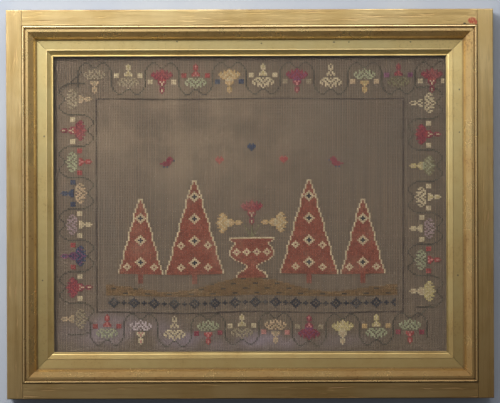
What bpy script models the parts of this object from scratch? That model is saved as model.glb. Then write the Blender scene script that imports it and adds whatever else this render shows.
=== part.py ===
"""Cross stitch sampler in a gilt frame: the wooden frame, its slip, the glass, the cloth and the board.

The frame hangs upright with its face towards -Y and its back on the plane y = 0. The origin is the middle
of the top rail's back, where the frame hangs on a wall. A section is drawn as (inset, depth): inset runs
inwards from the frame's outer edge, and depth runs forwards from the wall.
"""

from math import cos, pi, radians, sin

import bmesh
import bpy
from mathutils import Matrix, Vector

# Overall size of the frame, and the air left between two pieces that touch
WIDTH = 0.488
HEIGHT = 0.390
GAP = 0.0003

# Flat outer band, of gilded oak
BAND_WIDTH = 0.0157
BAND_DEPTH = 0.0260
BAND_ARRIS = 0.0008

# Inner moulding: bead, quirk, fillet, slope and step, with a lip over the slip
BEAD_RADIUS = 0.00115
QUIRK_WIDTH = 0.0013
QUIRK_DEPTH = 0.0011
FILLET_WIDTH = 0.0023
FILLET_DROP = 0.0004
SLOPE_WIDTH = 0.0052
SLOPE_DROP = 0.0052
STEP_WIDTH = 0.0028
STEP_DROP = 0.0050
LIP_EDGE = 0.0006
MOULDING_FOOT = 0.0080

# Slip: nearly flat band, arris bead, bevel and sight lip
SLIP_WIDTH = 0.0093
SLIP_FALL = 0.0008
ARRIS_RADIUS = 0.0005
BEVEL_WIDTH = 0.0033
BEVEL_DROP = 0.0029
SIGHT_WIDTH = 0.0026
SIGHT_RADIUS = 0.0007
SIGHT_EDGE = 0.0020
SLIP_REBATE = 0.0060

# Sheets inside the frame
GLASS_THICKNESS = 0.0020
CLOTH_THICKNESS = 0.0020
BOARD_THICKNESS = 0.0030
BOARD_RECESS = 0.0010

ARC_STEPS = 6

# Places worked out from the sizes above, as insets and depths
MOULDING_START = BAND_WIDTH + GAP
FILLET_LEVEL = BAND_DEPTH - FILLET_DROP
FILLET_START = MOULDING_START + 2 * BEAD_RADIUS + QUIRK_WIDTH
SLOPE_START = FILLET_START + FILLET_WIDTH
STEP_START = SLOPE_START + SLOPE_WIDTH
STEP_END = STEP_START + STEP_WIDTH
LIP_FRONT = FILLET_LEVEL - SLOPE_DROP - STEP_DROP
LIP_BACK = LIP_FRONT - LIP_EDGE
SLIP_START = MOULDING_START + MOULDING_FOOT + GAP
SLIP_FRONT = LIP_BACK - GAP
SLIP_FLAT_END = STEP_END + SLIP_WIDTH
BEVEL_START = SLIP_FLAT_END + 2 * ARRIS_RADIUS
SIGHT_START = BEVEL_START + BEVEL_WIDTH
SIGHT_END = SIGHT_START + SIGHT_WIDTH
BOARD_FRONT = BOARD_RECESS + BOARD_THICKNESS
CLOTH_BACK = BOARD_FRONT + GAP
GLASS_BACK = CLOTH_BACK + CLOTH_THICKNESS + GAP
SIGHT_BACK = GLASS_BACK + GLASS_THICKNESS + GAP
SIGHT_FRONT = SIGHT_BACK + SIGHT_EDGE

# The frame's four sides: the turn about Y that brings the bottom side there, its own length and the
# distance from the frame's middle to its outer edge
SIDES = {
    "bottom": (0, WIDTH, HEIGHT / 2),
    "left": (90, HEIGHT, WIDTH / 2),
    "top": (180, WIDTH, HEIGHT / 2),
    "right": (270, HEIGHT, WIDTH / 2),
}

FRAME_MIDDLE = Vector((0.0, 0.0, BAND_WIDTH / 2 - HEIGHT / 2))


def clear_scene():
    for item in list(bpy.data.objects):
        bpy.data.objects.remove(item, do_unlink=True)


def make_collection(name):
    collection = bpy.data.collections.new(name)
    bpy.context.scene.collection.children.link(collection)
    return collection


def make_material(name, colour, roughness, metallic=0.0, alpha=1.0):
    material = bpy.data.materials.new(name)
    material.use_nodes = True
    shader = material.node_tree.nodes["Principled BSDF"]
    shader.inputs["Base Color"].default_value = (*colour, 1.0)
    shader.inputs["Roughness"].default_value = roughness
    shader.inputs["Metallic"].default_value = metallic
    shader.inputs["Alpha"].default_value = alpha
    return material


def half_round(inset, depth, radius):
    """Points over a bead that starts at (inset, depth) and ends two radii further in."""
    centre = inset + radius
    points = []
    for step in range(1, ARC_STEPS):
        turn = pi * step / ARC_STEPS
        points.append((centre - radius * cos(turn), depth + radius * sin(turn)))
    return points


def moulding_section():
    """Outline of the mitred inner moulding, from its foot at the back over the bead and down the slope."""
    quirk_start = MOULDING_START + 2 * BEAD_RADIUS
    quirk_floor = BAND_DEPTH - QUIRK_DEPTH
    return [
        (MOULDING_START, 0.0),
        (MOULDING_START, BAND_DEPTH),
        *half_round(MOULDING_START, BAND_DEPTH, BEAD_RADIUS),
        (quirk_start, BAND_DEPTH),
        (quirk_start + QUIRK_WIDTH * 0.2, quirk_floor),
        (quirk_start + QUIRK_WIDTH * 0.8, quirk_floor),
        (FILLET_START, FILLET_LEVEL),
        (SLOPE_START, FILLET_LEVEL),
        (STEP_START, FILLET_LEVEL - SLOPE_DROP),
        (STEP_END, LIP_FRONT),
        (STEP_END, LIP_BACK),
        (MOULDING_START + MOULDING_FOOT, LIP_BACK),
        (MOULDING_START + MOULDING_FOOT, 0.0),
    ]


def slip_section():
    """Outline of the mitred slip, with the rebate behind its sight lip for glass and cloth."""
    flat_end = SLIP_FRONT - SLIP_FALL
    rebate_side = SIGHT_END - SLIP_REBATE
    lip_flat = SIGHT_FRONT - SIGHT_RADIUS
    return [
        (SLIP_START, CLOTH_BACK),
        (SLIP_START, SLIP_FRONT),
        (STEP_END, SLIP_FRONT),
        (SLIP_FLAT_END, flat_end),
        *half_round(SLIP_FLAT_END, flat_end, ARRIS_RADIUS),
        (BEVEL_START, flat_end),
        (SIGHT_START, flat_end - BEVEL_DROP),
        (SIGHT_END - 2 * SIGHT_RADIUS, lip_flat),
        *half_round(SIGHT_END - 2 * SIGHT_RADIUS, lip_flat, SIGHT_RADIUS),
        (SIGHT_END, lip_flat),
        (SIGHT_END, SIGHT_BACK),
        (rebate_side, SIGHT_BACK),
        (rebate_side, CLOTH_BACK),
    ]


def extruded_outline(name, outline, length):
    """Mesh of a flat outline extruded along X, with inset going up Z and depth going towards -Y."""
    curve = bpy.data.curves.new(name, "CURVE")
    curve.dimensions = "2D"
    curve.fill_mode = "BOTH"
    curve.extrude = length / 2
    spline = curve.splines.new("POLY")
    spline.points.add(len(outline) - 1)
    for point, (inset, depth) in zip(spline.points, outline):
        point.co = (inset, depth, 0.0, 1.0)
    spline.use_cyclic_u = True
    drawing = bpy.data.objects.new(name, curve)
    bpy.context.scene.collection.objects.link(drawing)
    evaluated = drawing.evaluated_get(bpy.context.evaluated_depsgraph_get())
    mesh = bpy.data.meshes.new_from_object(evaluated)
    bpy.data.objects.remove(drawing, do_unlink=True)
    bpy.data.curves.remove(curve)
    # curve X is inset and goes up, curve Y is depth and goes forwards, curve Z runs along the length
    mesh.transform(Matrix(((0, 0, 1, 0), (0, -1, 0, 0), (1, 0, 0, 0), (0, 0, 0, 1))))
    return mesh


def mitre(shape, length):
    """Cut both ends of a length at 45 degrees, half a gap back from the corner's diagonal."""
    setback = GAP / 2 * 2 ** 0.5
    for end in (-1, 1):
        corner = Vector((end * (length / 2 - setback), 0.0, 0.0))
        geometry = shape.verts[:] + shape.edges[:] + shape.faces[:]
        cut = bmesh.ops.bisect_plane(
            shape, geom=geometry, dist=1e-7, plane_co=corner, plane_no=Vector((end, 0.0, 1.0)),
            clear_outer=True,
        )
        rim = [item for item in cut["geom_cut"] if isinstance(item, bmesh.types.BMEdge)]
        bmesh.ops.contextual_create(shape, geom=rim)


def mitred_length(name, side, outline, material, collection):
    """One mitred side of the frame, from its section."""
    turn, length, reach = SIDES[side]
    mesh = extruded_outline(name, outline, length)
    shape = bmesh.new()
    shape.from_mesh(mesh)
    bmesh.ops.remove_doubles(shape, verts=shape.verts, dist=1e-6)
    mitre(shape, length)
    bmesh.ops.recalc_face_normals(shape, faces=shape.faces)
    shape.to_mesh(mesh)
    shape.free()
    mesh.materials.clear()
    mesh.materials.append(material)
    piece = bpy.data.objects.new(name, mesh)
    collection.objects.link(piece)
    turned = Matrix.Rotation(radians(turn), 4, "Y")
    piece.matrix_world = Matrix.Translation(FRAME_MIDDLE) @ turned @ Matrix.Translation((0.0, 0.0, -reach))
    return piece


def box_piece(name, size, centre, material, collection, arris_on=()):
    """A box of the given size. The front edges on the named sides get a small rounded arris."""
    mesh = bpy.data.meshes.new(name)
    shape = bmesh.new()
    bmesh.ops.create_cube(shape, size=1.0, matrix=Matrix.Diagonal((*size, 1.0)))
    directions = {"left": Vector((-1, 0, 0)), "right": Vector((1, 0, 0)),
                  "top": Vector((0, 0, 1)), "bottom": Vector((0, 0, -1))}
    wanted = [directions[side] for side in arris_on]
    front_edges = []
    for edge in shape.edges:
        middle = (edge.verts[0].co + edge.verts[1].co) / 2
        outward = Vector((middle.x / size[0], 0.0, middle.z / size[2])).normalized()
        if middle.y < -size[1] * 0.4 and any(outward.dot(way) > 0.9 for way in wanted):
            front_edges.append(edge)
    if front_edges:
        bmesh.ops.bevel(shape, geom=front_edges, offset=BAND_ARRIS, segments=3, profile=0.5, affect="EDGES")
    shape.to_mesh(mesh)
    shape.free()
    mesh.materials.append(material)
    piece = bpy.data.objects.new(name, mesh)
    piece.location = FRAME_MIDDLE + Vector(centre)
    collection.objects.link(piece)
    return piece


def outer_band(oak, collection):
    """Gilded oak band: two full-height stiles, and two rails butted between them."""
    band_middle = -BAND_DEPTH / 2
    stile_size = (BAND_WIDTH, BAND_DEPTH, HEIGHT)
    stile_x = (WIDTH - BAND_WIDTH) / 2
    box_piece("stile_left", stile_size, (-stile_x, band_middle, 0.0), oak, collection,
              ("left", "top", "bottom"))
    box_piece("stile_right", stile_size, (stile_x, band_middle, 0.0), oak, collection,
              ("right", "top", "bottom"))
    rail_size = (WIDTH - 2 * BAND_WIDTH - 2 * GAP, BAND_DEPTH, BAND_WIDTH)
    rail_z = (HEIGHT - BAND_WIDTH) / 2
    box_piece("rail_top", rail_size, (0.0, band_middle, rail_z), oak, collection, ("top",))
    box_piece("rail_bottom", rail_size, (0.0, band_middle, -rail_z), oak, collection, ("bottom",))


def inner_mouldings(gilt, collection):
    """Four mitred lengths of moulding, then the four mitred lengths of slip inside them."""
    for side in SIDES:
        mitred_length("moulding_" + side, side, moulding_section(), gilt, collection)
    for side in SIDES:
        mitred_length("slip_" + side, side, slip_section(), gilt, collection)


def sheet(name, margin, back, thickness, material, collection):
    """A flat rectangular sheet whose edge lies the given margin inside the frame's outer edge."""
    size = (WIDTH - 2 * margin, thickness, HEIGHT - 2 * margin)
    return box_piece(name, size, (0.0, -(back + thickness / 2), 0.0), material, collection)


def contents(collection):
    """Board, stitched cloth and glass, laid into the frame from behind."""
    in_slip = SIGHT_END - SLIP_REBATE + GAP
    pine = make_material("plain_board", (0.36, 0.25, 0.15), 0.8)
    canvas = make_material("stitched_canvas", (0.17, 0.13, 0.10), 0.95)
    clear = make_material("clear_glass", (0.9, 0.95, 0.93), 0.05, alpha=0.3)
    sheet("backboard", SLIP_START, BOARD_RECESS, BOARD_THICKNESS, pine, collection)
    sheet("sampler_cloth", in_slip, CLOTH_BACK, CLOTH_THICKNESS, canvas, collection)
    sheet("glass_pane", in_slip, GLASS_BACK, GLASS_THICKNESS, clear, collection)


clear_scene()
sampler = make_collection("framed_cross_stitch_sampler")
outer_band(make_material("gilded_oak", (0.55, 0.38, 0.16), 0.45, metallic=0.6), sampler)
inner_mouldings(make_material("gilt_moulding", (0.62, 0.45, 0.20), 0.35, metallic=0.8), sampler)
contents(sampler)
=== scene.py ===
"""Looks of the framed cross stitch sampler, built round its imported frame."""

import math
import random

import bmesh
import bpy
import numpy as np
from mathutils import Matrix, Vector


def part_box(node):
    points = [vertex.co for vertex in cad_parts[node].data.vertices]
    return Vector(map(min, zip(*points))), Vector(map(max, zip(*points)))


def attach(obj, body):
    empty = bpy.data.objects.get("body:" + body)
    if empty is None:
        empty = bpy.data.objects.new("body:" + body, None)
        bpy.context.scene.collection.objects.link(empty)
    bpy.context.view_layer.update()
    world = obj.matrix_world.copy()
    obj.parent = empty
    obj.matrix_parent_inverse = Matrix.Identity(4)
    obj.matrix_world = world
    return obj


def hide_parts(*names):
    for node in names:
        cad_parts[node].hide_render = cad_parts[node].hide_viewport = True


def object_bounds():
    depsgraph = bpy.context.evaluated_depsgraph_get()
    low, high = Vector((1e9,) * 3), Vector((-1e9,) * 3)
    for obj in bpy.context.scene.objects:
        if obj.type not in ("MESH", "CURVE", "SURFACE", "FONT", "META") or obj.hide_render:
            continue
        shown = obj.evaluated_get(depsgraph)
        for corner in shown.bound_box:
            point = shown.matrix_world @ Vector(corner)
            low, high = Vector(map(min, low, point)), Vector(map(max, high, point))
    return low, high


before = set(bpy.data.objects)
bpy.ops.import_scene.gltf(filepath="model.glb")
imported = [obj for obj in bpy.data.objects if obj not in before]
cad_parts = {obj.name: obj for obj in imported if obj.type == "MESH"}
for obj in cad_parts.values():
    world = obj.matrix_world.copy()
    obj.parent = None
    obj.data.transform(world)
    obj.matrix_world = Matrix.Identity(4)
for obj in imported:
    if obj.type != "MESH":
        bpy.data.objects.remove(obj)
cad_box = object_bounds()

# The studio. A pale wall just behind the frame and a pale floor below it. A window near the upper left
# and a long skylight above give the daylight, the far side of the room sends a little back, and the air
# of the room is brighter towards the window. The camera stands square to the cloth.
low, high = cad_box
MIDDLE = (low + high) / 2
FRAME_WIDTH = high.x - low.x
FRAME_HEIGHT = high.z - low.z
FACE = low.y
CAMERA_DISTANCE = 2.40
VIEW_WIDTH = FRAME_WIDTH * 1.0256
CAMERA_RISE = 0.0025
CAMERA_ROLL = 0.0030
FILM_WIDTH = 36.0
WALL_CLEARANCE = 0.004
FLOOR_DROP = 0.45
WALL_SIZE = 6.0
FLOOR_SIZE = 12.0
WALL_BLUE_GREY = (0.37, 0.41, 0.48, 1.0)
FLOOR_GREY = (0.66, 0.66, 0.66, 1.0)
ROOM_AIR = (0.90, 0.93, 1.0, 1.0)
TOWARDS_WINDOW = (-0.55, 0.0, 0.85)
# name: place from the frame's middle, width, height, power, colour
LAMPS = {
    "window": ((-0.64, -0.72, 0.58), 0.36, 0.46, 10.5, (1.0, 0.975, 0.93)),
    "skylight": ((-0.15, -1.10, 0.80), 1.90, 0.62, 12.0, (1.0, 0.98, 0.94)),
    "far_room": ((1.50, -0.90, 0.0), 0.60, 0.80, 2.5, (1.0, 0.96, 0.90)),
}


def deselect():
    if bpy.context.mode != "OBJECT":
        bpy.ops.object.mode_set(mode="OBJECT")
    bpy.ops.object.select_all(action="DESELECT")


def area_lamp(name, place, width, height, power, colour):
    """A soft lamp at a place given from the frame's middle, aimed at it."""
    data = bpy.data.lights.new(name, "AREA")
    data.shape = "RECTANGLE"
    data.size = width
    data.size_y = height
    data.energy = power
    data.color = colour
    lamp = bpy.data.objects.new(name, data)
    lamp.location = MIDDLE + Vector(place)
    lamp.rotation_euler = (-Vector(place)).to_track_quat("-Z", "Y").to_euler()
    lamp.visible_camera = False
    bpy.context.scene.collection.objects.link(lamp)


def make_camera():
    data = bpy.data.cameras.new("camera")
    data.sensor_width = FILM_WIDTH
    data.lens = data.sensor_width * CAMERA_DISTANCE / VIEW_WIDTH
    camera = bpy.data.objects.new("camera", data)
    camera.location = (MIDDLE.x, FACE - CAMERA_DISTANCE, MIDDLE.z + CAMERA_RISE)
    camera.rotation_euler = (math.pi / 2, CAMERA_ROLL, 0.0)
    bpy.context.scene.collection.objects.link(camera)
    bpy.context.scene.camera = camera


def put(tree, kind, sockets=None, **settings):
    """Adds a node. sockets gives its inputs, by name or number, a value or another node's output."""
    made = tree.nodes.new(kind)
    for name, value in settings.items():
        setattr(made, name, value)
    for socket, value in (sockets or {}).items():
        if isinstance(value, bpy.types.NodeSocket):
            tree.links.new(value, made.inputs[socket])
        else:
            made.inputs[socket].default_value = value
    return made


def new_material(name):
    """A material with its tree and its Principled shader."""
    material = bpy.data.materials.new(name)
    material.use_nodes = True
    return material, material.node_tree, material.node_tree.nodes["Principled BSDF"]


def make_stage():
    """Wall and floor. The wall is seen from the front only, and takes no light from the frame's back."""
    wall_colour, tree, shader = new_material("pale_wall")
    shader.inputs["Base Color"].default_value = WALL_BLUE_GREY
    shader.inputs["Roughness"].default_value = 0.9
    behind = put(tree, "ShaderNodeNewGeometry").outputs["Backfacing"]
    clear = put(tree, "ShaderNodeBsdfTransparent")
    sides = put(tree, "ShaderNodeMixShader", {0: behind, 1: shader.outputs[0], 2: clear.outputs[0]})
    tree.links.new(sides.outputs[0], tree.nodes["Material Output"].inputs["Surface"])
    deselect()
    bpy.ops.mesh.primitive_plane_add(size=WALL_SIZE, location=(MIDDLE.x, high.y + WALL_CLEARANCE, MIDDLE.z),
                                     rotation=(math.pi / 2, 0.0, 0.0))
    wall = bpy.context.active_object
    wall.name = "wall"
    wall.data.materials.append(wall_colour)
    wall.visible_diffuse = False
    wall.visible_glossy = False
    wall.visible_transmission = False
    wall.visible_shadow = False

    floor_colour, tree, shader = new_material("pale_floor")
    shader.inputs["Base Color"].default_value = FLOOR_GREY
    shader.inputs["Roughness"].default_value = 0.8
    deselect()
    bpy.ops.mesh.primitive_plane_add(size=FLOOR_SIZE, location=(MIDDLE.x, MIDDLE.y, low.z - FLOOR_DROP))
    floor = bpy.context.active_object
    floor.name = "floor"
    floor.data.materials.append(floor_colour)
    floor.visible_diffuse = False
    floor.visible_glossy = False


def make_light():
    for name, lamp in LAMPS.items():
        area_lamp(name, *lamp)
    world = bpy.data.worlds.new("room_light")
    world.use_nodes = True
    tree = world.node_tree
    facing = put(tree, "ShaderNodeTexCoord").outputs["Generated"]
    lean = put(tree, "ShaderNodeVectorMath", {0: facing, 1: TOWARDS_WINDOW}, operation="DOT_PRODUCT")
    strength = put(tree, "ShaderNodeMapRange", {"Value": lean.outputs["Value"], "From Min": -0.30,
                                                "From Max": 0.60, "To Min": 0.0, "To Max": 0.55})
    background = tree.nodes["Background"]
    background.inputs["Color"].default_value = ROOM_AIR
    tree.links.new(strength.outputs[0], background.inputs["Strength"])
    bpy.context.scene.world = world
    bpy.context.scene.view_settings.view_transform = "Standard"


make_camera()
make_stage()
make_light()


# Outer band. Oak, gilded straight on the open grain, so that the pores show as brown streaks along each
# length. Two full-height stiles with the rails butted between them. The top rail's right end is bare and
# red at its corner, and two dark chips lie beside the bare patch.
GOLD_ON_OAK = (0.92, 0.70, 0.34, 1.0)
DULL_GOLD_ON_OAK = (0.76, 0.53, 0.21, 1.0)
STREAKED_GOLD = (0.36, 0.21, 0.07, 1.0)
OAK_IN_PORES = (0.20, 0.10, 0.035, 1.0)
# Painted shade for the band's heel, beside the raised bead.
PAINTED_HEEL_SHADE = (0.10, 0.055, 0.02, 1.0)
RED_BOLE = (0.36, 0.07, 0.035, 1.0)
DARK_CHIP = (0.015, 0.010, 0.008, 1.0)
# Painted shade: the gilding's colour darkens towards the frame's lower right, standing for the fall of the
# light.
PAINTED_SHADE_TINT = (0.44, 0.38, 0.32, 1.0)
TOWARDS_PAINTED_SHADE = (0.20, 0.0, -1.0)
ARRIS_RUB = (0.0016, 0.0002)
BAND_HEEL = (0.0148, 0.0157)
QUARTER_TURN = math.pi / 2


def new_group(name, inputs, outputs):
    """A shader node group with named sockets. Each input is its name, kind and value."""
    group = bpy.data.node_groups.new(name, "ShaderNodeTree")
    for socket, kind, value in inputs:
        made = group.interface.new_socket(socket, in_out="INPUT", socket_type=kind)
        if value is not None:
            made.default_value = value
    for socket, kind in outputs:
        group.interface.new_socket(socket, in_out="OUTPUT", socket_type=kind)
    return group, put(group, "NodeGroupInput"), put(group, "NodeGroupOutput")


def maths(tree, operation, first, second=0.0):
    return put(tree, "ShaderNodeMath", {0: first, 1: second}, operation=operation).outputs[0]


def times(tree, first, second):
    return maths(tree, "MULTIPLY", first, second)


def object_place(tree):
    return put(tree, "ShaderNodeTexCoord").outputs["Object"]


def add_bump(tree, shader, height, strength, depth):
    sockets = {"Height": height, "Strength": strength, "Distance": depth}
    tree.links.new(put(tree, "ShaderNodeBump", sockets).outputs[0], shader.inputs["Normal"])


def fade(tree, value, start, end, low_value=0.0, high_value=1.0):
    """A value eased between two limits."""
    sockets = {"Value": value, "From Min": start, "From Max": end,
               "To Min": low_value, "To Max": high_value}
    return put(tree, "ShaderNodeMapRange", sockets, interpolation_type="SMOOTHSTEP").outputs[0]


def blend(tree, share, first, second, way="MIX"):
    """Two colours mixed by a share."""
    sockets = {0: share, 6: first, 7: second}
    return put(tree, "ShaderNodeMix", sockets, data_type="RGBA", blend_type=way).outputs[2]


def noise(tree, place, scale, detail=3.0, roughness=0.5):
    sockets = {"Vector": place, "Scale": scale, "Detail": detail, "Roughness": roughness}
    return put(tree, "ShaderNodeTexNoise", sockets).outputs["Fac"]


def make_grain():
    """Open oak grain. Lines up with X of the vector it is given."""
    group, given, out = new_group(
        "open_grain",
        [("Place", "NodeSocketVector", None)],
        [("Pores", "NodeSocketFloat"), ("Figure", "NodeSocketFloat"), ("Height", "NodeSocketFloat")],
    )
    place = given.outputs["Place"]
    fine = put(group, "ShaderNodeMapping", {"Vector": place, "Scale": (42.0, 700.0, 700.0)}).outputs[0]
    long = put(group, "ShaderNodeMapping", {"Vector": place, "Scale": (9.0, 190.0, 190.0)}).outputs[0]
    dashes = fade(group, noise(group, fine, 1.0, 2.0), 0.56, 0.72)
    bands = fade(group, noise(group, long, 1.0, 3.0), 0.42, 0.66)
    pores = times(group, dashes, maths(group, "ADD", times(group, bands, 0.75), 0.25))
    height = maths(group, "SUBTRACT", 1.0, pores)
    group.links.new(pores, out.inputs["Pores"])
    group.links.new(bands, out.inputs["Figure"])
    group.links.new(height, out.inputs["Height"])
    return group


def make_inset():
    """How far a point of the frame lies in from the frame's outer edge, seen from the front, in metres."""
    group, _, out = new_group("frame_inset", [], [("Inset", "NodeSocketFloat")])
    place = object_place(group)
    split = put(group, "ShaderNodeSeparateXYZ", {0: place})
    across = maths(group, "ABSOLUTE", maths(group, "SUBTRACT", split.outputs["X"], MIDDLE.x))
    upward = maths(group, "ABSOLUTE", maths(group, "SUBTRACT", split.outputs["Z"], MIDDLE.z))
    side = maths(group, "SUBTRACT", FRAME_WIDTH / 2, across)
    end = maths(group, "SUBTRACT", FRAME_HEIGHT / 2, upward)
    group.links.new(maths(group, "MINIMUM", side, end), out.inputs["Inset"])
    return group


def spot_mask(tree, place, spots, softness=0.35):
    """1 inside any of the spots, each given as x, z, width and height in metres on the frame's face."""
    total = None
    for x, z, width, height in spots:
        away = put(tree, "ShaderNodeVectorMath", {0: place, 1: (x, 0.0, z)}, operation="SUBTRACT")
        scale = (2 / width, 0.0, 2 / height)
        scaled = put(tree, "ShaderNodeVectorMath", {0: away.outputs[0], 1: scale}, operation="MULTIPLY")
        reach = put(tree, "ShaderNodeVectorMath", {0: scaled.outputs[0]}, operation="LENGTH").outputs["Value"]
        inside = fade(tree, reach, 1.0 + softness, 1.0 - softness)
        total = inside if total is None else maths(tree, "MAXIMUM", total, inside)
    return total


def make_painted_shade():
    """Painted shade on the gilding for the fall of the light, laid in as a darker tint: thin at the frame's
    upper left, thickest at its lower right.
    """
    group, given, out = new_group(
        "with_painted_shade", [("Leaf", "NodeSocketColor", None)], [("Leaf", "NodeSocketColor")])
    place = object_place(group)
    along = put(group, "ShaderNodeVectorMath", {0: place, 1: TOWARDS_PAINTED_SHADE}, operation="DOT_PRODUCT")
    cloud = times(group, noise(group, place, 9.0, 3.0), 0.10)
    reach = maths(group, "ADD", along.outputs["Value"], cloud)
    share = fade(group, reach, -0.02, 0.50)
    darkened = blend(group, share, given.outputs["Leaf"], PAINTED_SHADE_TINT, "MULTIPLY")
    group.links.new(darkened, out.inputs["Leaf"])
    return group


# Lays the painted shade of the light's fall over a gilding colour.
def with_painted_shade(tree, leaf):
    return put(tree, "ShaderNodeGroup", {"Leaf": leaf}, node_tree=PAINTED_SHADE).outputs["Leaf"]


PAINTED_SHADE = make_painted_shade()
OPEN_GRAIN = make_grain()
FRAME_INSET = make_inset()


def gilded_oak(name, turn, seed, bare=(), chips=()):
    """Gold leaf on oak whose grain runs along X, or along Z after a quarter turn."""
    material, tree, shader = new_material(name)
    place = object_place(tree)
    turned = put(tree, "ShaderNodeMapping", {"Vector": place, "Rotation": (0.0, turn, 0.0),
                                             "Location": (seed, 0.0, 0.0)}).outputs[0]
    grain = put(tree, "ShaderNodeGroup", {"Place": turned}, node_tree=OPEN_GRAIN)
    inset = put(tree, "ShaderNodeGroup", node_tree=FRAME_INSET).outputs["Inset"]
    cloud = noise(tree, place, 16.0, 4.0, 0.6)
    leaf = blend(tree, fade(tree, cloud, 0.3, 0.75), GOLD_ON_OAK, DULL_GOLD_ON_OAK)
    leaf = blend(tree, times(tree, grain.outputs["Figure"], 0.30), leaf, STREAKED_GOLD)
    worn = times(tree, grain.outputs["Pores"], 0.80)
    edge = times(tree, fade(tree, inset, *ARRIS_RUB), fade(tree, cloud, 0.40, 0.62))
    worn = maths(tree, "MAXIMUM", worn, times(tree, edge, 0.7))
    colour = blend(tree, worn, leaf, OAK_IN_PORES)
    # Painted shade along the band's heel, where the bead stands up beside it.
    painted_recess_shade = times(tree, fade(tree, inset, *BAND_HEEL), 0.45)
    colour = blend(tree, painted_recess_shade, colour, PAINTED_HEEL_SHADE)
    shine = fade(tree, worn, 0.0, 1.0, 0.82, 0.05)
    if bare:
        rough_edge = noise(tree, place, 900.0, 2.0)
        patch = spot_mask(tree, place, bare, 0.25)
        patch = times(tree, patch, fade(tree, rough_edge, 0.25, 0.50))
        colour = blend(tree, patch, colour, RED_BOLE)
        shine = times(tree, shine, maths(tree, "SUBTRACT", 1.0, patch))
    if chips:
        chipped = spot_mask(tree, place, chips)
        colour = blend(tree, chipped, colour, DARK_CHIP)
        shine = times(tree, shine, maths(tree, "SUBTRACT", 1.0, chipped))
    # Painted shade towards the lower right.
    tree.links.new(with_painted_shade(tree, colour), shader.inputs["Base Color"])
    tree.links.new(shine, shader.inputs["Metallic"])
    tree.links.new(fade(tree, worn, 0.0, 1.0, 0.29, 0.70), shader.inputs["Roughness"])
    add_bump(tree, shader, grain.outputs["Height"], 0.35, 0.0003)
    return material


RAIL_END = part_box("rail_top")[1].x
# x, z, width, height
BARE_CORNER = [
    (RAIL_END - 0.0050, -0.0040, 0.0085, 0.0065),
    (RAIL_END - 0.0015, -0.0055, 0.0040, 0.0050),
]
CHIPS = [
    (RAIL_END - 0.0125, -0.0068, 0.0030, 0.0016),
    (RAIL_END - 0.0098, -0.0080, 0.0042, 0.0014),
]
OAK_LENGTHS = {
    "stile_left": gilded_oak("gilded_oak_stile_left", QUARTER_TURN, 0.31),
    "stile_right": gilded_oak("gilded_oak_stile_right", QUARTER_TURN, 1.17),
    "rail_top": gilded_oak("gilded_oak_rail_top", 0.0, 0.0, BARE_CORNER, CHIPS),
    "rail_bottom": gilded_oak("gilded_oak_rail_bottom", 0.0, 2.43),
}
for name, material in OAK_LENGTHS.items():
    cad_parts[name].data.materials[0] = material


# Inner moulding. Four mitred lengths with smooth gilding on gesso: a bead, a quirk darkened with
# painted shade, a fillet, and two slopes down to the slip, with painted shade at their foot.
MOULDING_GOLD = (0.92, 0.68, 0.31, 1.0)
DULL_MOULDING_GOLD = (0.76, 0.52, 0.22, 1.0)
RUBBED_BRIGHT = (0.86, 0.70, 0.40, 1.0)
MOULDING_BOLE = (0.30, 0.13, 0.05, 1.0)
# Painted shade for the quirk, the slopes' foot and the slip's heel.
PAINTED_RECESS_DARK = (0.07, 0.045, 0.02, 1.0)
BEAD = (0.0164, 0.0176)
QUIRK = (0.0186, 0.0194)
SLOPE_FOOT = (0.0286, 0.0310)


def make_rubbed():
    """Rubbed leaf: cloudy tone, and a mask where rubbing has gone through to the clay below."""
    group, given, out = new_group(
        "rubbed_leaf",
        [("Place", "NodeSocketVector", None), ("Rub", "NodeSocketFloat", 0.3)],
        [("Cloud", "NodeSocketFloat"), ("Bare", "NodeSocketFloat"), ("Height", "NodeSocketFloat")],
    )
    place = given.outputs["Place"]
    cloud = noise(group, place, 30.0, 4.0, 0.6)
    speck = noise(group, place, 420.0, 3.0, 0.6)
    bare = fade(group, times(group, speck, maths(group, "ADD", cloud, 0.5)), 0.60, 0.72)
    group.links.new(cloud, out.inputs["Cloud"])
    group.links.new(times(group, bare, given.outputs["Rub"]), out.inputs["Bare"])
    group.links.new(noise(group, place, 1500.0, 2.0), out.inputs["Height"])
    return group


RUBBED_LEAF = make_rubbed()


def band_at(tree, inset, start, end, soft=0.0003):
    """1 between two insets, easing off outside them."""
    rise = fade(tree, inset, start - soft, start + soft)
    fall = fade(tree, inset, end + soft, end - soft)
    return times(tree, rise, fall)


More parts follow.
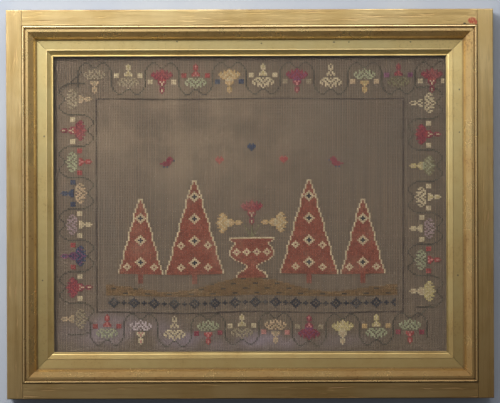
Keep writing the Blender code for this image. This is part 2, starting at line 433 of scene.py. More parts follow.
def gilt_moulding():
    material, tree, shader = new_material("gilt_moulding")
    place = object_place(tree)
    rubbed = put(tree, "ShaderNodeGroup", {"Place": place, "Rub": 0.45}, node_tree=RUBBED_LEAF)
    inset = put(tree, "ShaderNodeGroup", node_tree=FRAME_INSET).outputs["Inset"]
    leaf = blend(tree, fade(tree, rubbed.outputs["Cloud"], 0.3, 0.7), MOULDING_GOLD, DULL_MOULDING_GOLD)
    bead = band_at(tree, inset, *BEAD)
    leaf = blend(tree, times(tree, bead, 0.6), leaf, RUBBED_BRIGHT)
    colour = blend(tree, rubbed.outputs["Bare"], leaf, MOULDING_BOLE)
    # Painted shade in the quirk and at the foot of the slopes, where the slopes shade the slip.
    quirk = band_at(tree, inset, *QUIRK)
    foot = band_at(tree, inset, *SLOPE_FOOT)
    painted_recess_shade = maths(tree, "MAXIMUM", times(tree, quirk, 0.85), times(tree, foot, 0.55))
    colour = blend(tree, painted_recess_shade, colour, PAINTED_RECESS_DARK)
    # Painted shade towards the lower right.
    tree.links.new(with_painted_shade(tree, colour), shader.inputs["Base Color"])
    tree.links.new(fade(tree, painted_recess_shade, 0.0, 1.0, 0.80, 0.10), shader.inputs["Metallic"])
    tree.links.new(fade(tree, rubbed.outputs["Cloud"], 0.2, 0.8, 0.22, 0.38), shader.inputs["Roughness"])
    add_bump(tree, shader, rubbed.outputs["Height"], 0.12, 0.0002)
    return material


MOULDING_FINISH = gilt_moulding()
for side in ("top", "bottom", "left", "right"):
    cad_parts["moulding_" + side].data.materials[0] = MOULDING_FINISH


# Slip. Four mitred lengths of matt gilding, paler and greyer than the frame, with a fine arris, a bevel
# down to the glass, a few fly spots, and a rubbed grey stretch along the bottom length's outer edge.
SLIP_GOLD = (0.80, 0.66, 0.31, 1.0)
DULL_SLIP_GOLD = (0.66, 0.51, 0.22, 1.0)
BRIGHT_SLIP_GOLD = (0.78, 0.64, 0.38, 1.0)
SLIP_CLAY = (0.25, 0.17, 0.09, 1.0)
FLY_SPOT = (0.05, 0.04, 0.03, 1.0)
RUBBED_GREY = (0.10, 0.10, 0.10, 1.0)
SLIP_ARRIS = (0.0391, 0.0397)
SLIP_HEEL = (0.0290, 0.0304)
# x, z, width, height
FLY_SPOTS = [
    (-0.0730, -0.0235, 0.0018, 0.0014),
    (0.0120, -0.0255, 0.0016, 0.0013),
    (0.0850, -0.0245, 0.0022, 0.0016),
    (0.1000, -0.0245, 0.0016, 0.0012),
    (0.1620, -0.0245, 0.0018, 0.0014),
    (0.2110, -0.0725, 0.0014, 0.0018),
    (0.2110, -0.1155, 0.0014, 0.0016),
    (0.2090, -0.2595, 0.0016, 0.0018),
    (-0.2070, -0.1185, 0.0014, 0.0018),
    (-0.2090, -0.2635, 0.0016, 0.0016),
]
GREY_RUBS = [
    (-0.0415, -0.3530, 0.0540, 0.0022),
    (-0.1010, -0.3525, 0.0620, 0.0010),
    (0.0900, -0.3526, 0.0900, 0.0010),
]


def gilt_slip():
    material, tree, shader = new_material("gilt_slip")
    place = object_place(tree)
    rubbed = put(tree, "ShaderNodeGroup", {"Place": place, "Rub": 0.25}, node_tree=RUBBED_LEAF)
    inset = put(tree, "ShaderNodeGroup", node_tree=FRAME_INSET).outputs["Inset"]
    leaf = blend(tree, fade(tree, rubbed.outputs["Cloud"], 0.3, 0.7), SLIP_GOLD, DULL_SLIP_GOLD)
    arris = band_at(tree, inset, *SLIP_ARRIS, 0.0002)
    leaf = blend(tree, times(tree, arris, 0.5), leaf, BRIGHT_SLIP_GOLD)
    colour = blend(tree, rubbed.outputs["Bare"], leaf, SLIP_CLAY)
    spots = spot_mask(tree, place, FLY_SPOTS, 0.4)
    colour = blend(tree, times(tree, spots, 0.85), colour, FLY_SPOT)
    rubs = times(tree, spot_mask(tree, place, GREY_RUBS, 0.3),
                 fade(tree, noise(tree, place, 500.0), 0.30, 0.55))
    colour = blend(tree, times(tree, rubs, 0.8), colour, RUBBED_GREY)
    # Painted shade along the slip's heel, under the moulding's slopes.
    corner = times(tree, band_at(tree, inset, *SLIP_HEEL), 0.5)
    colour = blend(tree, corner, colour, PAINTED_RECESS_DARK)
    # Painted shade towards the lower right.
    tree.links.new(with_painted_shade(tree, colour), shader.inputs["Base Color"])
    marks = maths(tree, "MAXIMUM", maths(tree, "MAXIMUM", spots, rubs), corner)
    tree.links.new(fade(tree, marks, 0.0, 1.0, 0.80, 0.05), shader.inputs["Metallic"])
    tree.links.new(fade(tree, rubbed.outputs["Cloud"], 0.2, 0.8, 0.34, 0.46), shader.inputs["Roughness"])
    add_bump(tree, shader, rubbed.outputs["Height"], 0.10, 0.0002)
    return material


SLIP_FINISH = gilt_slip()
for side in ("top", "bottom", "left", "right"):
    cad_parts["slip_" + side].data.materials[0] = SLIP_FINISH


# Backboard. One thin plain board, let into the back of the moulding. It keeps the glass and the cloth in,
# and is left bare.
PALE_BOARD = (0.40, 0.27, 0.15, 1.0)
BOARD = (0.30, 0.19, 0.10, 1.0)
BOARD_FIGURE = (0.22, 0.13, 0.065, 1.0)
BOARD_PORES = (0.10, 0.06, 0.03, 1.0)


def plain_board():
    material, tree, shader = new_material("plain_board")
    place = object_place(tree)
    grain = put(tree, "ShaderNodeGroup", {"Place": place}, node_tree=OPEN_GRAIN)
    tone = noise(tree, place, 7.0, 4.0, 0.6)
    wood = blend(tree, fade(tree, tone, 0.3, 0.7), BOARD, PALE_BOARD)
    wood = blend(tree, times(tree, grain.outputs["Figure"], 0.4), wood, BOARD_FIGURE)
    colour = blend(tree, times(tree, grain.outputs["Pores"], 0.5), wood, BOARD_PORES)
    tree.links.new(colour, shader.inputs["Base Color"])
    tree.links.new(fade(tree, tone, 0.2, 0.8, 0.70, 0.88), shader.inputs["Roughness"])
    add_bump(tree, shader, grain.outputs["Height"], 0.3, 0.0002)
    return material


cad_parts["backboard"].data.materials[0] = plain_board()


# Canvas. An open, even-weave canvas of brown taupe thread, stretched flat with its turned edges under
# the slip. Each thread is a low ridge on a thin dark ground, painted shade that stands for the holes between
# them.
CLOTH_LOW, CLOTH_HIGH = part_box("sampler_cloth")
CLOTH_MIDDLE = (CLOTH_LOW + CLOTH_HIGH) / 2
CLOTH_WIDTH = CLOTH_HIGH.x - CLOTH_LOW.x
CLOTH_HEIGHT = CLOTH_HIGH.z - CLOTH_LOW.z
CELL_WIDTH = 0.001702
CELL_HEIGHT = 0.001585
THREAD_WIDTH = 0.00112
BACKING = 0.0004
THREAD_STEPS = 24
BACKING_FRONT = CLOTH_HIGH.y - BACKING
WEFT_FRONT = BACKING_FRONT - 0.0003
WARP_FRONT = BACKING_FRONT - 0.0004
COLUMNS = int(CLOTH_WIDTH / 2 / CELL_WIDTH - 0.6)
ROWS = int(CLOTH_HEIGHT / 2 / CELL_HEIGHT - 0.6)
SIDE_LEAN = 0.0009
SLOW_WAVE = 0.0005
FOOT_WAVE = 0.0009
CANVAS_TAUPE = (0.106, 0.070, 0.041, 1.0)
WEFT_TAUPE = (0.078, 0.054, 0.034, 1.0)
HOLE_SHADE_TAUPE = (0.050, 0.036, 0.024, 1.0)
# Painted reflections of the glass in the cloth's colour: a warm pale haze, darker places and a lilac bloom.
PAINTED_HAZE = (0.22, 0.16, 0.10, 1.0)
PAINTED_DARK_REFLECTION = (0.055, 0.045, 0.034, 1.0)
PAINTED_LILAC_REFLECTION = (0.19, 0.15, 0.19, 1.0)
# x, z, width, height
HAZE_PLACES = [(-0.070, -0.115, 0.250, 0.120)]
DARK_REFLECTION_PLACES = [(0.125, -0.105, 0.170, 0.110), (-0.130, -0.190, 0.080, 0.090)]
LILAC_REFLECTION_PLACES = [(-0.130, -0.316, 0.090, 0.030), (-0.020, -0.325, 0.200, 0.016)]


def slack(places):
    """How the stretched cloth has crept: a slow wave along its foot, and a lean at its right side."""
    across = (places[:, 0] - CLOTH_MIDDLE.x) / (CLOTH_WIDTH / 2)
    upward = (places[:, 2] - CLOTH_MIDDLE.z) / (CLOTH_HEIGHT / 2)
    hold = (1 - across ** 2) * (1 - upward ** 2) + 0.25
    foot = np.clip(-upward, 0, 1) * (1 - np.abs(across) ** 3)
    moved = places.copy()
    moved[:, 0] += SIDE_LEAN * across.clip(0, 1) * upward * (1 - across ** 8)
    moved[:, 2] += SLOW_WAVE * np.sin(7.0 * across + 0.8) * hold + FOOT_WAVE * foot * np.cos(9.0 * across)
    return moved


def read_places(mesh):
    places = np.empty(len(mesh.vertices) * 3)
    mesh.vertices.foreach_get("co", places)
    return places.reshape(-1, 3)


def write_places(mesh, places):
    mesh.vertices.foreach_set("co", places.ravel())
    mesh.update()


def lay_flat_map(mesh):
    """Lays the piece's map out as it is seen from the front, so that each thread keeps its own place."""
    places = read_places(mesh)
    low_corner = places.min(axis=0)
    span = places.max(axis=0) - low_corner
    corners = np.empty(len(mesh.loops), dtype=np.int64)
    mesh.loops.foreach_get("vertex_index", corners)
    flat = ((places - low_corner) / span)[corners][:, [0, 2]] * 0.996 + 0.002
    layer = mesh.uv_layers.new(name="OFBake")
    layer.uv.foreach_set("vector", flat.astype(np.float32).ravel())


def apply_all(piece):
    """Applies a piece's modifiers in order."""
    deselect()
    piece.select_set(True)
    bpy.context.view_layer.objects.active = piece
    for modifier in list(piece.modifiers):
        bpy.ops.object.modifier_apply(modifier=modifier.name)


def make_threads(name, upright):
    """All the warp or weft threads: one ridge, laid out side by side by an array."""
    deselect()
    length = CLOTH_HEIGHT if upright else CLOTH_WIDTH
    count = 2 * (COLUMNS if upright else ROWS) + 1
    pitch = CELL_WIDTH if upright else CELL_HEIGHT
    front = WARP_FRONT if upright else WEFT_FRONT
    bpy.ops.mesh.primitive_grid_add(x_subdivisions=THREAD_STEPS, y_subdivisions=3, size=1.0)
    piece = bpy.context.active_object
    piece.name = name
    mesh = piece.data
    mesh.name = name
    strip = read_places(mesh)
    raised = np.abs(strip[:, 1]) < 0.4
    along = strip[:, 0] * (length - 0.0004)
    beside = strip[:, 1] * THREAD_WIDTH * np.where(raised, 1.5, 1.0) - pitch * (count - 1) / 2
    depth = np.where(raised, front, BACKING_FRONT + 0.0001)
    shaped = np.zeros_like(strip)
    shaped[:, 0] = CLOTH_MIDDLE.x + (beside if upright else along)
    shaped[:, 1] = depth
    shaped[:, 2] = CLOTH_MIDDLE.z + (along if upright else beside)
    write_places(mesh, shaped)
    if upright:
        mesh.flip_normals()
    rows = piece.modifiers.new("threads", "ARRAY")
    rows.count = count
    rows.use_relative_offset = False
    rows.use_constant_offset = True
    rows.constant_offset_displace = (pitch, 0.0, 0.0) if upright else (0.0, 0.0, pitch)
    apply_all(piece)
    mesh = piece.data
    lay_flat_map(mesh)
    write_places(mesh, slack(read_places(mesh)))
    mesh.shade_smooth()
    return piece


def make_backing():
    """The thin ground of the cloth, which the threads stand on."""
    deselect()
    bpy.ops.mesh.primitive_grid_add(x_subdivisions=40, y_subdivisions=32, size=1.0,
                                    location=(CLOTH_MIDDLE.x, BACKING_FRONT, CLOTH_MIDDLE.z),
                                    rotation=(math.pi / 2, 0.0, 0.0))
    piece = bpy.context.active_object
    piece.name = "canvas"
    piece.scale = (CLOTH_WIDTH, CLOTH_HEIGHT, 1.0)
    bpy.ops.object.transform_apply(location=True, rotation=True, scale=True)
    wall = piece.modifiers.new("thickness", "SOLIDIFY")
    wall.thickness = BACKING
    wall.offset = -1.0
    apply_all(piece)
    return piece


def make_painted_reflections():
    """Painted reflections of the glass, laid into the cloth's tone as slow changes: a warm pale haze, a dark
    side, and a lilac bloom.
    """
    group, _, out = new_group(
        "painted_glass_reflections", [],
        [("Pale", "NodeSocketFloat"), ("Dark", "NodeSocketFloat"), ("Lilac", "NodeSocketFloat")],
    )
    place = object_place(group)
    mottle = noise(group, place, 22.0, 4.0, 0.6)
    pale = spot_mask(group, place, HAZE_PLACES, 0.8)
    dark = spot_mask(group, place, DARK_REFLECTION_PLACES, 0.8)
    lilac = spot_mask(group, place, LILAC_REFLECTION_PLACES, 0.8)
    mottled = fade(group, mottle, 0.30, 0.66)
    group.links.new(times(group, pale, mottled), out.inputs["Pale"])
    group.links.new(times(group, dark, mottled), out.inputs["Dark"])
    group.links.new(times(group, lilac, mottled), out.inputs["Lilac"])
    return group


PAINTED_GLASS_REFLECTIONS = make_painted_reflections()


def thread_finish(name, colour, streak):
    """Dull canvas thread. streak stretches the tone along the thread, so that neighbours differ."""
    material, tree, shader = new_material(name)
    place = object_place(tree)
    stretched = put(tree, "ShaderNodeMapping", {"Vector": place, "Scale": streak}).outputs[0]
    reflection_marks = put(tree, "ShaderNodeGroup", node_tree=PAINTED_GLASS_REFLECTIONS)
    tone = fade(tree, noise(tree, stretched, 1.0, 2.0), 0.25, 0.75)
    darker = tuple(0.62 * part for part in colour[:3]) + (1.0,)
    yarn = blend(tree, tone, darker, colour)
    # Painted reflections of the glass: the pale haze, the darker places and the lilac bloom.
    yarn = blend(tree, times(tree, reflection_marks.outputs["Pale"], 0.30), yarn, PAINTED_HAZE)
    yarn = blend(tree, times(tree, reflection_marks.outputs["Dark"], 0.35), yarn, PAINTED_DARK_REFLECTION)
    yarn = blend(tree, times(tree, reflection_marks.outputs["Lilac"], 0.45), yarn, PAINTED_LILAC_REFLECTION)
    tree.links.new(yarn, shader.inputs["Base Color"])
    fibre = noise(tree, place, 6000.0, 2.0)
    tree.links.new(fade(tree, fibre, 0.2, 0.8, 0.80, 0.95), shader.inputs["Roughness"])
    add_bump(tree, shader, fibre, 0.3, 0.0001)
    return material


canvas = make_backing()
# The ground is dark as painted shade in the holes between the threads.
canvas.data.materials.append(thread_finish("canvas_ground", HOLE_SHADE_TAUPE, (60.0, 60.0, 60.0)))
warp = make_threads("warp_threads", True)
warp.data.materials.append(thread_finish("warp_thread", CANVAS_TAUPE, (590.0, 590.0, 9.0)))
weft = make_threads("weft_threads", False)
weft.data.materials.append(thread_finish("weft_thread", WEFT_TAUPE, (9.0, 590.0, 630.0)))
for piece in (canvas, warp, weft):
    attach(piece, "root")
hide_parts("sampler_cloth")


# Wool. The stitches are crosses of two-ply wool over one canvas thread each way. A cross is two plump
# legs that dive into the holes at their ends, the second leg lying over the first.
DYES = {
    "brick": (0.180, 0.044, 0.021),
    "brick_dark": (0.150, 0.036, 0.018),
    "cream": (0.370, 0.300, 0.185),
    "ochre": (0.128, 0.070, 0.022),
    "fleck": (0.038, 0.026, 0.013),
    "black": (0.010, 0.012, 0.018),
    "crimson": (0.155, 0.017, 0.028),
    "red": (0.225, 0.032, 0.028),
    "pink": (0.360, 0.150, 0.125),
    "navy": (0.014, 0.026, 0.062),
    "purple": (0.120, 0.030, 0.075),
    "mauve": (0.215, 0.150, 0.150),
    "lilac": (0.330, 0.265, 0.260),
    "yellow": (0.330, 0.265, 0.110),
    "gold": (0.330, 0.215, 0.090),
    "tan": (0.340, 0.240, 0.140),
    "faded": (0.215, 0.170, 0.105),
    "green": (0.230, 0.235, 0.140),
    "dull_green": (0.130, 0.115, 0.055),
    "vine": (0.030, 0.026, 0.013),
    "line": (0.028, 0.015, 0.009),
}
WOOL_SHADE = (0.35, 0.30, 0.26, 1.0)
WOOL_DUST = (0.28, 0.22, 0.15, 1.0)
LEG_HALF = 0.00118
LEG_WIDTH = 0.00082
LEG_DEPTH = 0.00042
RING_REACH = 1.22
FIRST_LEG = WARP_FRONT - 0.00010
SECOND_LEG = WARP_FRONT - 0.00034


def make_leg(name, lean, depth):
    """One leg of a cross, centred on the origin: a spindle whose tips are pushed back into the cloth."""
    deselect()
    bpy.ops.mesh.primitive_uv_sphere_add(segments=4, ring_count=3, radius=1.0,
                                         rotation=(0.0, 0.0, math.pi / 4))
    leg = bpy.context.active_object
    leg.name = name
    bpy.ops.object.transform_apply(location=False, rotation=True, scale=False)
    bpy.ops.object.mode_set(mode="EDIT")
    shape = bmesh.from_edit_mesh(leg.data)
    for vertex in shape.verts:
        vertex.select_set(abs(vertex.co.z) > 0.9)
    shape.select_flush_mode()
    bmesh.update_edit_mesh(leg.data)
    bpy.ops.transform.translate(value=(0.0, 0.9, 0.0))
    bpy.ops.mesh.select_all(action="SELECT")
    bpy.ops.transform.resize(value=(LEG_WIDTH / RING_REACH, LEG_DEPTH / RING_REACH, LEG_HALF),
                             center_override=(0.0, 0.0, 0.0))
    bpy.ops.transform.translate(value=(0.0, depth, 0.0))
    bpy.ops.object.mode_set(mode="OBJECT")
    leg.rotation_euler = (0.0, lean, 0.0)
    bpy.ops.object.transform_apply(location=True, rotation=True, scale=True)
    leg.data.shade_smooth()
    return leg


def make_cross():
    """The model cross, from which every stitch is copied."""
    lean = math.atan2(CELL_WIDTH, CELL_HEIGHT)
    under = make_leg("cross", lean, FIRST_LEG)
    over = make_leg("cross_over", -lean, SECOND_LEG)
    deselect()
    over.select_set(True)
    under.select_set(True)
    bpy.context.view_layer.objects.active = under
    bpy.ops.object.join()
    return under


def make_stitcher(cross):
    """Geometry nodes that put a cross, turned and swollen as its point says, on every point."""
    group = bpy.data.node_groups.new("stitcher", "GeometryNodeTree")
    group.interface.new_socket("Points", in_out="INPUT", socket_type="NodeSocketGeometry")
    group.interface.new_socket("Stitches", in_out="OUTPUT", socket_type="NodeSocketGeometry")
    given = put(group, "NodeGroupInput")
    out = put(group, "NodeGroupOutput")
    turn = put(group, "GeometryNodeInputNamedAttribute", {"Name": "turn"}, data_type="FLOAT")
    swell = put(group, "GeometryNodeInputNamedAttribute", {"Name": "swell"}, data_type="FLOAT")
    spin = put(group, "ShaderNodeCombineXYZ", {"Y": turn.outputs["Attribute"]})
    size = put(group, "ShaderNodeCombineXYZ", {"X": swell.outputs["Attribute"], "Y": 1.0,
                                               "Z": swell.outputs["Attribute"]})
    model = put(group, "GeometryNodeObjectInfo", {"Object": cross})
    copies = put(group, "GeometryNodeInstanceOnPoints",
                 {"Points": given.outputs[0], "Instance": model.outputs["Geometry"],
                  "Rotation": spin.outputs[0], "Scale": size.outputs[0]})
    real = put(group, "GeometryNodeRealizeInstances", {"Geometry": copies.outputs[0]})
    group.links.new(real.outputs[0], out.inputs[0])
    return group


def make_wool():
    """Matt wool in the colour its stitch was dyed, with a fine twist."""
    material, tree, shader = new_material("wool")
    place = object_place(tree)
    dye = put(tree, "ShaderNodeAttribute", attribute_name="dye").outputs["Color"]
    fuzz = noise(tree, place, 2600.0, 3.0, 0.6)
    worn = noise(tree, place, 45.0, 4.0, 0.6)
    colour = blend(tree, fade(tree, fuzz, 0.25, 0.75, 0.0, 0.55), dye, WOOL_SHADE, "MULTIPLY")
    colour = blend(tree, fade(tree, worn, 0.45, 0.75, 0.0, 0.16), colour, WOOL_DUST)
    tree.links.new(colour, shader.inputs["Base Color"])
    tree.links.new(fade(tree, fuzz, 0.2, 0.8, 0.82, 0.96), shader.inputs["Roughness"])
    twist = put(tree, "ShaderNodeTexWave", {"Vector": place, "Scale": 900.0, "Distortion": 2.0},
                bands_direction="DIAGONAL").outputs["Fac"]
    add_bump(tree, shader, twist, 0.35, 0.0001)
    return material


MODEL_CROSS = make_cross()
STITCHER = make_stitcher(MODEL_CROSS)
WOOL = make_wool()
needle = random.Random(1887)


def stitch(name, chart, plump=1.0):
    """Works a chart of {(column, row): dye} in crosses, as one piece."""
    cells = sorted(chart)
    mesh = bpy.data.meshes.new(name)
    mesh.vertices.add(len(cells))
    places = np.zeros((len(cells), 3))
    places[:, 0] = CLOTH_MIDDLE.x + CELL_WIDTH * np.array([cell[0] for cell in cells])
    places[:, 2] = CLOTH_MIDDLE.z + CELL_HEIGHT * np.array([cell[1] for cell in cells])
    write_places(mesh, slack(places))
    tones = [needle.gauss(1.0, 0.10) for _ in cells]
    dyes = [[max(0.0, part * tone) for part in DYES[chart[cell]]] + [1.0] for cell, tone in zip(cells, tones)]
    turns = [needle.gauss(0.0, 0.05) for _ in cells]
    swells = [plump * needle.gauss(1.0, 0.04) for _ in cells]
    mesh.attributes.new("dye", "FLOAT_COLOR", "POINT").data.foreach_set("color", np.array(dyes).ravel())
    mesh.attributes.new("turn", "FLOAT", "POINT").data.foreach_set("value", turns)
    mesh.attributes.new("swell", "FLOAT", "POINT").data.foreach_set("value", swells)
    piece = bpy.data.objects.new(name, mesh)
    bpy.context.scene.collection.objects.link(piece)
    work = piece.modifiers.new("stitches", "NODES")
    work.node_group = STITCHER
    apply_all(piece)
    lay_flat_map(piece.data)
    piece.data.materials.clear()
    piece.data.materials.append(WOOL)
    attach(piece, "root")


# Border. A carnation border of the common kind: carnations turned in and out by turns, small paired
# blocks beside them, and a fine double-lobed vine that runs over each fan. One repeat is charted here,
# fan upwards: v vine, f fan, p its pale veins, c calyx and bud, l their pale heart, s side blocks.
CARNATION = """
....vvv.......vvv....
...v...v.....v...v...
..v.....v...v.....v..
.v.......vvv.......v.
.v........f........v.
v......f.fpf.f......v
v....f.fffpfff.f....v
v...ffpffpfpffpff...v
v...fpffpfffpffpf...v
v....ffpffpffpff....v
v.....fffpfpfff.....v
v.sss...ppppp...sss.v
v.sss...clclc...sss.v
v.sss...cclcc...sss.v
v........clc........v
v.........c.........v
.........ccc.........
.........clc.........
.........clc.........
..........c..........
""".split()
CHART_MIDDLE = 10
REPEAT = 20
LAST_COLUMN = 115
LAST_ROW = 92
CORNER_STEPS = 15
UPPER_CORNER = (-114, 70)
LOWER_CORNER = (107, -65)
FINE_VINE = 0.80
WAYS = {
    "up": lambda col, row: (col, -row),
    "down": lambda col, row: (col, row),
    "right": lambda col, row: (-row, col),
    "left": lambda col, row: (row, col),
}
# fan, veins, calyx, heart, side blocks
COLOURWAYS = {
    "faded": ("faded", None, "tan", "faded", None),
    "pale": ("faded", None, "cream", "yellow", "cream"),
    "crimson": ("crimson", "red", "crimson", "cream", "cream"),
    "crimson_pink": ("crimson", "purple", "crimson", "pink", "faded"),
    "green_red": ("green", None, "red", "pink", "red"),
    "gold_navy": ("gold", "cream", "gold", "tan", "navy"),
    "cream": ("cream", None, "cream", "yellow", "cream"),
    "bone": ("cream", None, "cream", None, None),
    "green_tan": ("green", None, "gold", "yellow", "tan"),
    "dull_crimson": ("dull_green", None, "crimson", "red", "purple"),
    "lilac": ("lilac", None, "cream", "pink", None),
    "mauve": ("mauve", None, "cream", "cream", "cream"),
    "blush": ("tan", None, "tan", "faded", "pink"),
    "yellow": ("yellow", "cream", "cream", "tan", None),
    "green_yellow": ("green", None, "yellow", "cream", "gold"),
    "navy_tan": ("tan", None, "navy", "navy", "navy"),
    "navy_purple": ("navy", "purple", "purple", "navy", "red"),
    "green_purple": ("green", None, "red", "pink", "crimson"),
    "blue_green": ("dull_green", "green", "yellow", "cream", None),
}
# side: first column, first row, step in columns, step in rows, way of the first fan and of the next
BORDER_SIDES = {
    "top": (-92, 80, REPEAT, 0, "up", "down"),
    "bottom": (-85, -80, REPEAT, 0, "down", "up"),
    "left": (-103, 67, 0, -REPEAT, "left", "right"),
    "right": (104, 64, 0, -REPEAT, "right", "left"),
}
BORDER_ORDER = {
    "top": ["faded", "pale", "crimson", "green_red", "gold_navy", "cream", "crimson_pink", "bone",
            "green_tan", "dull_crimson", "crimson"],
    "bottom": ["green_red", "lilac", "bone", "green_purple", "pale", "blush", "crimson_pink", "yellow",
               "green_yellow", "green_purple"],
    "left": ["faded", "crimson", "green_red", "navy_tan", "mauve", "navy_purple", "crimson", "faded"],
    "right": ["bone", "crimson", "blue_green", "cream", "mauve", "green_red", "yellow"],
}


def chart_border():
    """The whole border, as charts of its flowers and of its vine."""
    flowers, vine = {}, {}
    for side, (col, row, step_col, step_row, first_way, second_way) in BORDER_SIDES.items():
        for number, colourway in enumerate(BORDER_ORDER[side]):
            way = WAYS[first_way if number % 2 == 0 else second_way]
            dyes = dict(zip("fpcls", COLOURWAYS[colourway]))
            for chart_row, line in enumerate(CARNATION):
                for chart_col, mark in enumerate(line):
                    move = way(chart_col - CHART_MIDDLE, chart_row - CHART_MIDDLE)
                    cell = (col + number * step_col + move[0], row + number * step_row + move[1])
                    if mark == "v":
                        vine[cell] = "vine"
                    elif mark in dyes and dyes[mark]:
                        flowers[cell] = dyes[mark]
    return flowers, vine


def within_opening(chart):
    """The cells of a chart that show inside the slip."""
    return {cell: dye for cell, dye in chart.items()
            if abs(cell[0]) <= LAST_COLUMN and abs(cell[1]) <= LAST_ROW}


border_flowers, border_vine = chart_border()
for step in range(CORNER_STEPS):
    border_vine[(UPPER_CORNER[0] + step, UPPER_CORNER[1] + step)] = "vine"
    border_vine[(LOWER_CORNER[0] - step // 2, LOWER_CORNER[1] - step // 2)] = "vine"
stitch("border_flowers", within_opening(border_flowers))
stitch("border_vine", within_opening(border_vine), FINE_VINE)


# Ruled line. One row of fine dark wool crosses, worked as a rectangle between the border and the
# picture.
LINE_SIDE = 91
LINE_TOP = 67
LINE_FOOT = -69
FINE_LINE = 0.76
ruled = {}
for col in range(-LINE_SIDE, LINE_SIDE + 1):
    ruled[(col, LINE_TOP)] = "line"
    ruled[(col, LINE_FOOT)] = "line"
for row in range(LINE_FOOT, LINE_TOP + 1):
    ruled[(-LINE_SIDE, row)] = "line"
    ruled[(LINE_SIDE, row)] = "line"
stitch("ruled_line", ruled, FINE_LINE)


# Garden picture. An even, formal garden worked in wool: stepped trees, an urn of carnations, birds and
# hearts over a low ochre bank. Every shape is worked out from its half widths, row by row.
MIDDLE_COLUMN = 1
BANK_FOOT = -58
BANK_TOP = -47
BANK_LEFT = -85
BANK_RIGHT = 87
FLECK_ROWS = 3
FLECK_REPEAT = 13
FLECK_LENGTH = 3
TRUNK_ROWS = 3
SIDES = (-1, 1)
# columns from the middle to the tree, then its widest half width, narrowing, tiers, steps and rise
TREES = ((34, (17, 4, 4, 5, 3)), (66, (13, 3, 4, 4, 3)))


def worked(chart, middle, foot, half_widths, fill, outline):
    """Fills an upright, even shape, with its edge and its steps in the outline's dye."""
    for number, half in enumerate(half_widths):
        above = half_widths[number + 1] if number + 1 < len(half_widths) else -1
        for col in range(-half, half + 1):
            chart[(middle + col, foot + number)] = outline if abs(col) > min(above, half - 1) else fill


def lozenge(chart, col, row, reach, dye, heart):
    """A lozenge in one dye, with its heart in another."""
    for across in range(-reach, reach + 1):
        for up in range(abs(across) - reach, reach - abs(across) + 1):
            chart[(col + across, row + up)] = heart if abs(across) + abs(up) < reach - 1 else dye


def tiers(widest, narrowing, count, steps, rise):
    """Half widths of a tree with overhanging tiers, each step some rows high."""
    starts = [widest - narrowing * tier for tier in range(count)]
    return [start - step for start in starts for step in range(steps) for _ in range(rise)]


def make_bank(chart):
    """The bank: a low ochre ground in shallow steps, with short dark flecks."""
    for row in range(BANK_FOOT, BANK_TOP + 1):
        height = row - BANK_FOOT
        for col in range(BANK_LEFT, BANK_RIGHT + 1):
            hump = 6 + 5 * math.cos(col / 17.0) * math.cos(col / 60.0)
            if height <= hump:
                place = (col + 7 * (row // FLECK_ROWS)) % FLECK_REPEAT
                flecked = row % FLECK_ROWS == 0 and place < FLECK_LENGTH
                chart[(col, row)] = "fleck" if flecked else "ochre"


def make_trees(chart):
    """Two stepped trees each side, on short dark trunks, with lozenges up their middles."""
    for side in SIDES:
        for away, build in TREES:
            widths = tiers(*build)
            middle = MIDDLE_COLUMN + side * away
            foot = BANK_TOP + TRUNK_ROWS
            for row in range(BANK_TOP - TRUNK_ROWS, foot):
                for col in (-1, 0, 1):
                    chart[(middle + col, row)] = "brick_dark"
            worked(chart, middle, foot, widths, "brick", "cream")
            for row in range(foot + 7, foot + len(widths) - 6, 14):
                lozenge(chart, middle, row, 3, "cream", "black" if row % 2 else "crimson")
                if widths[row - foot] > 9:
                    lozenge(chart, middle - 8, row - 3, 2, "cream", "brick")
                    lozenge(chart, middle + 8, row - 3, 2, "cream", "brick")


URN_WIDTHS = [9, 9, 8, 8, 6, 4, 3, 3, 4, 6, 8, 10, 11, 12, 13, 13, 13, 13, 12, 12, 11, 10, 10, 12, 13, 13]
BIRD = """
..bb.....
.bbbb....
kbbbb....
..bbbbb..
..bbbbbbb
...bbbb..
....k.k..
""".split()
HEART = """
.h.h.
hhhhh
hhhhh
.hhh.
..h..
""".split()


def spot(chart, drawing, col, row, dyes, facing=1):
    """Works a small drawing, its foot at the row given."""
    for up, line in enumerate(reversed(drawing)):
        for across, mark in enumerate(line):
            if mark in dyes:
                chart[(col + facing * (across - len(line) // 2), row + up)] = dyes[mark]


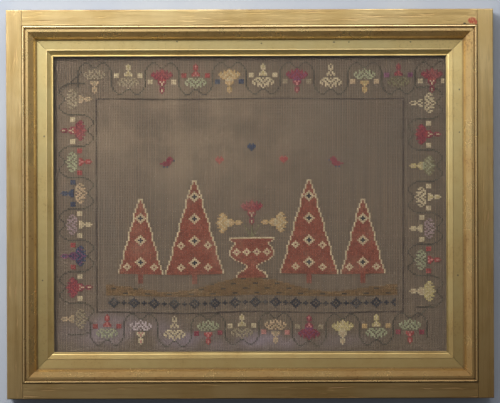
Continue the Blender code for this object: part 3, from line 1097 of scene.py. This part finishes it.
def make_urn(chart):
    """A brick urn with a band of lozenges, three carnations and a few leaves."""
    foot = BANK_TOP
    worked(chart, MIDDLE_COLUMN, foot, URN_WIDTHS, "brick", "cream")
    for across in range(-9, 10, 6):
        lozenge(chart, MIDDLE_COLUMN + across, foot + 16, 2, "cream", "crimson")
    rim = foot + len(URN_WIDTHS)
    blooms = [(0, 17, "up", "crimson"), (-15, 9, "left", "gold_navy"), (15, 9, "right", "gold_navy")]
    for across, up, way, colourway in blooms:
        dyes = dict(zip("fpcls", COLOURWAYS[colourway]))
        dyes["s"] = None
        for chart_row, line in enumerate(CARNATION):
            for chart_col, mark in enumerate(line):
                move = WAYS[way](chart_col - CHART_MIDDLE, chart_row - CHART_MIDDLE)
                if dyes.get(mark):
                    chart[(MIDDLE_COLUMN + across + move[0], rim + up + move[1])] = dyes[mark]
    for up in range(8):
        chart[(MIDDLE_COLUMN, rim + up)] = "dull_green"
        for side in SIDES:
            chart[(MIDDLE_COLUMN + side * (up // 2 + 1), rim + up)] = "dull_green"


def make_birds(chart):
    """A pair of birds and three hearts above the trees."""
    for side in SIDES:
        spot(chart, BIRD, MIDDLE_COLUMN + side * 50, 24, {"b": "crimson", "k": "navy"}, side)
        spot(chart, HEART, MIDDLE_COLUMN + side * 19, 26, {"h": "red"})
    spot(chart, HEART, MIDDLE_COLUMN, 34, {"h": "navy"})


bank, trees, urn, birds = {}, {}, {}, {}
make_bank(bank)
make_trees(trees)
make_urn(urn)
make_birds(birds)
stitch("bank", {cell: dye for cell, dye in bank.items() if cell not in trees and cell not in urn})
stitch("trees", {cell: dye for cell, dye in trees.items() if cell not in urn})
stitch("urn_of_carnations", urn)
stitch("birds_and_hearts", birds)


# Lozenge band. A near-black band of lozenges and small crosses, worked in wool below the bank, where
# the real sampler has a line of words.
BAND_TOP = -60
BAND_LEFT = -84
BAND_RIGHT = 86
BAND = """
...k........
..kkk.......
.kk.kk...k..
kk.k.kk.kkk.
.kk.kk...k..
..kkk.......
...k........
""".split()
lozenges = {}
for col in range(BAND_LEFT, BAND_RIGHT + 1):
    for down, line in enumerate(BAND):
        if line[(col - BAND_LEFT) % len(line)] == "k":
            lozenges[(col, BAND_TOP - down)] = "black"
stitch("lozenge_band", lozenges)
bpy.data.objects.remove(MODEL_CROSS, do_unlink=True)


# Glass. One thin clear pane in front of the cloth, held by the slip's lip. It lets the lamps' light
# through.
def clear_glass():
    material, tree, shader = new_material("clear_glass")
    shader.inputs["Base Color"].default_value = (0.97, 0.98, 0.97, 1.0)
    shader.inputs["Roughness"].default_value = 0.02
    shader.inputs["IOR"].default_value = 1.45
    shader.inputs["Transmission Weight"].default_value = 1.0
    return material


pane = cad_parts["glass_pane"]
pane.data.materials[0] = clear_glass()
pane.visible_shadow = False
